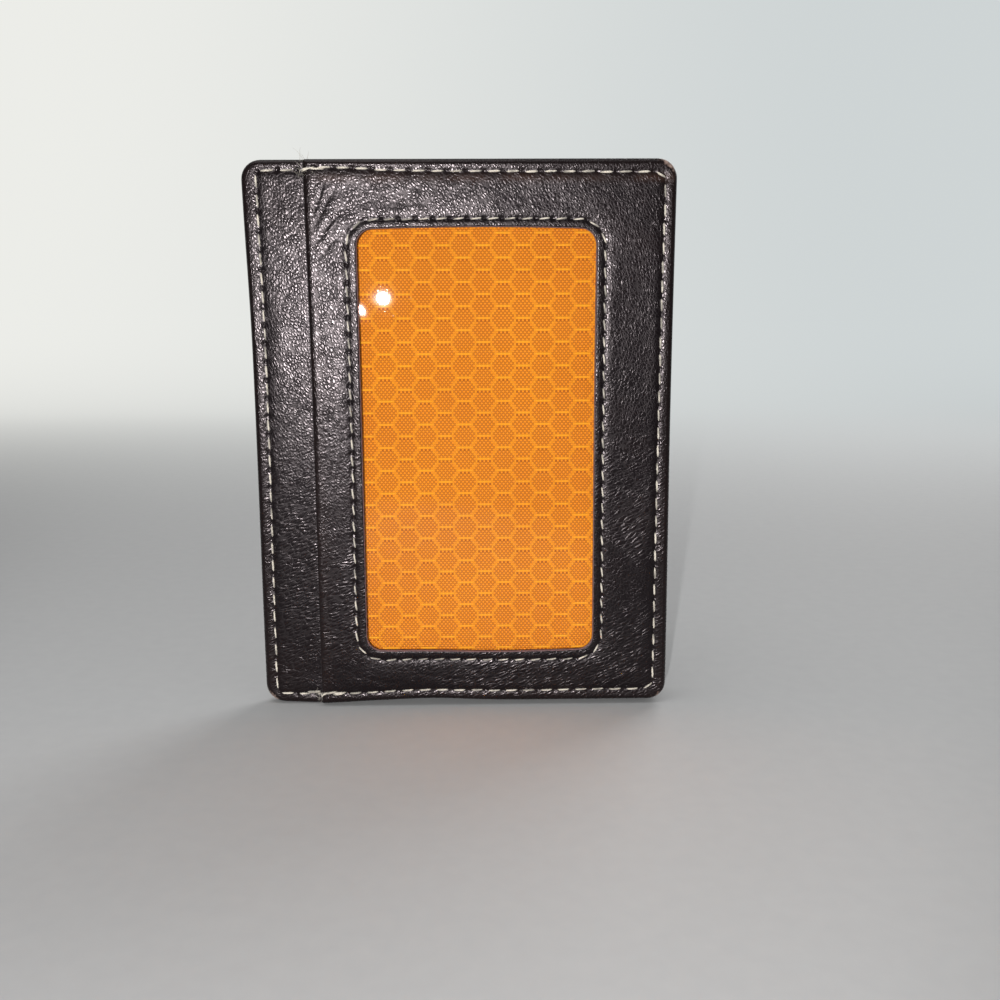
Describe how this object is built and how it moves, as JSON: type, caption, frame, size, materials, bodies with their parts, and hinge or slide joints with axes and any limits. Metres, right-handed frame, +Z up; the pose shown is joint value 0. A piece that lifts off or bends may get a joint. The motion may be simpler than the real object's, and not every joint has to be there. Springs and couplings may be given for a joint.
{
  "type": "front pocket wallet",
  "caption": "Flat front pocket wallet in stitched dark leather: a clear ID window over an orange ripstop pocket, a centre pocket and stepped card slots, all opening on one long side",
  "frame": {"origin": "on the ground under the middle of the wallet, which stands on one short edge", "axes": "+Z up along the long side, +X from the mouth side to the closed side, -Y out of the face with the ID window, +Y out of the face with the card slots"},
  "size_m": [0.078, 0.0096, 0.102],
  "materials": {
    "dark_brown_leather": "fine pebble grain, satin",
    "orange_ripstop": "plain weave with a raised hexagon grid",
    "brown_lining": "plain weave",
    "clear_sheet": "clear, glossy",
    "bonded_board": "bonded leather board, matt",
    "cream_thread": "twisted polyester thread"
  },
  "bodies": {
    "root": {"window_panel": "dark_brown_leather", "id_window": "clear_sheet", "front_strip": "dark_brown_leather", "id_pocket_lining": "orange_ripstop", "front_board": "bonded_board", "front_compartment_lining": "orange_ripstop", "window_stitching": "cream_thread", "front_stitching": "cream_thread", "lower_mouth_backtack": "cream_thread", "upper_mouth_backtack": "cream_thread", "back_compartment_lining": "orange_ripstop", "back_strip": "dark_brown_leather", "back_wall_lining": "brown_lining", "back_board": "bonded_board", "first_slot_strip": "dark_brown_leather", "first_slot_lining": "brown_lining", "first_slot_floor_stitching": "cream_thread", "second_slot_strip": "dark_brown_leather", "second_slot_lining": "brown_lining", "second_slot_floor_stitching": "cream_thread", "back_pocket_panel": "dark_brown_leather", "back_stitching": "cream_thread"}
  },
  "joints": []
}
